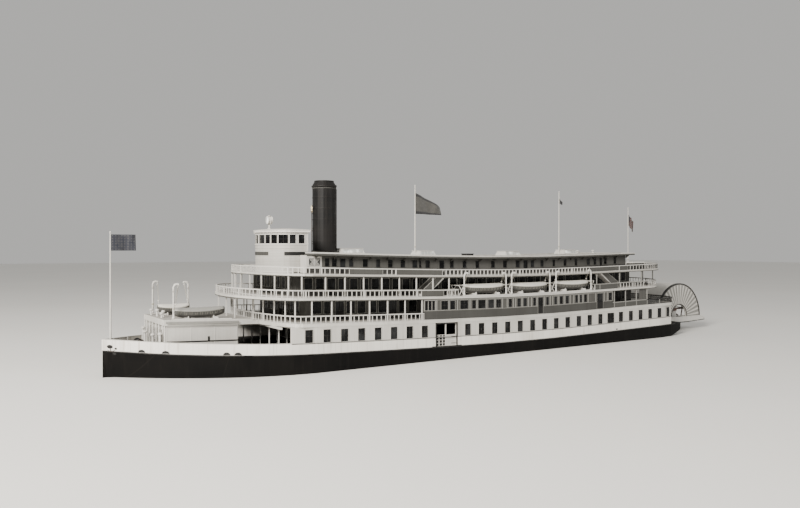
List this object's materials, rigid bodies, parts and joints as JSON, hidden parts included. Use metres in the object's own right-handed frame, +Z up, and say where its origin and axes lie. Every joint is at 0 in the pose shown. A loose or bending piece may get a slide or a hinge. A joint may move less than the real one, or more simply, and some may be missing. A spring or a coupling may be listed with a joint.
{
  "type": "stern-wheel river steamer, 1:10 scale model",
  "caption": "Flat-bottomed river steamer model with open gallery decks, boats, a pilothouse, a tall funnel, flags, a turning stern paddle wheel, rudders and cargo gates.",
  "frame": {"origin": "middle of the bounding box, at the flat bottom of the hull", "axes": "+X towards the bow, +Y to port, +Z up; the waterline is at z = 0.21336 m"},
  "size_m": [8.6868, 1.7684, 2.222],
  "materials": {
    "hull_black": "semi-gloss black hull paint",
    "deck_grey": "matt grey deck paint on boards",
    "house_white": "satin white paint",
    "shade_grey": "satin grey paint",
    "funnel_black": "semi-gloss black paint",
    "iron_dark": "dark oiled iron",
    "wheel_timber": "matt stained timber",
    "boat_grey": "satin pale grey paint",
    "flag_dark": "woven cloth, dark",
    "flag_pale": "woven cloth, pale"
  },
  "bodies": {
    "vessel": {"hull": "hull_black", "saloon_deck": "deck_grey", "observation_deck": "deck_grey", "texas_deck": "deck_grey", "texas_roof": "deck_grey", "pilothouse_roof": "deck_grey", "bulwark": "house_white", "main_house": "house_white", "fore_house": "house_white", "saloon_rail_fore": "house_white", "saloon_rail_aft": "house_white", "observation_rail_fore": "house_white", "observation_rail_aft": "house_white", "observation_posts_fore": "house_white", "observation_posts_aft": "house_white", "texas_rail": "house_white", "texas_cabin": "house_white", "pilothouse": "house_white", "searchlight": "house_white", "jackstaff": "house_white", "burgee_mast": "house_white", "pennant_mast": "house_white", "stern_flagstaff": "house_white", "wheel_housing": "house_white", "stern_timbers": "house_white", "davits_port": "house_white", "davits_starboard": "house_white", "davits_fore": "house_white", "stair_port_fore": "house_white", "stair_port_aft": "house_white", "stair_starboard_fore": "house_white", "stair_starboard_aft": "house_white", "freight_bulkhead": "shade_grey", "saloon_cabin": "shade_grey", "observation_cabin": "shade_grey", "funnel": "funnel_black", "windlass": "iron_dark", "pitman_port": "iron_dark", "pitman_starboard": "iron_dark", "engine_port": "iron_dark", "engine_starboard": "iron_dark", "boilers": "iron_dark", "lifeboat_port_1": "boat_grey", "lifeboat_port_2": "boat_grey", "lifeboat_port_3": "boat_grey", "lifeboat_starboard_1": "boat_grey", "lifeboat_starboard_2": "boat_grey", "lifeboat_starboard_3": "boat_grey", "skiff_port": "boat_grey", "skiff_starboard": "boat_grey", "jack_flag": "flag_dark", "pennant": "flag_dark", "ensign": "flag_dark", "burgee": "flag_pale"},
    "wheel": {"paddle_wheel": "wheel_timber"},
    "rudder_port": {"rudder_port": "hull_black"},
    "rudder_centre": {"rudder_centre": "hull_black"},
    "rudder_starboard": {"rudder_starboard": "hull_black"},
    "gate_port": {"cargo_gate_port": "house_white"},
    "gate_starboard": {"cargo_gate_starboard": "house_white"}
  },
  "joints": [
    {"name": "wheel_spin", "type": "hinge", "parent": "vessel", "child": "wheel", "pos_m": [-3.74904, 0, 0.51816], "axis": [0, 1, 0], "continuous": true},
    {"name": "rudder_centre_turn", "type": "hinge", "parent": "vessel", "child": "rudder_centre", "pos_m": [-3.01752, 0, 0.15], "axis": [0, 0, 1], "range_deg": [-40, 40]},
    {"name": "rudder_port_turn", "type": "hinge", "parent": "vessel", "child": "rudder_port", "pos_m": [-3.01752, 0.39624, 0.15], "axis": [0, 0, 1], "range_deg": [-40, 40]},
    {"name": "rudder_starboard_turn", "type": "hinge", "parent": "vessel", "child": "rudder_starboard", "pos_m": [-3.01752, -0.39624, 0.15], "axis": [0, 0, 1], "range_deg": [-40, 40]},
    {"name": "gate_port_swing", "type": "hinge", "parent": "vessel", "child": "gate_port", "pos_m": [0.80848, 0.86411, 0.43], "axis": [0, 0, -1], "range_deg": [0, 90]},
    {"name": "gate_starboard_swing", "type": "hinge", "parent": "vessel", "child": "gate_starboard", "pos_m": [0.80848, -0.86411, 0.43], "axis": [0, 0, 1], "range_deg": [0, 90]}
  ],
  "couplings": [
    {"joint": "rudder_port_turn", "follows": "rudder_centre_turn", "ratio": 1},
    {"joint": "rudder_starboard_turn", "follows": "rudder_centre_turn", "ratio": 1}
  ]
}
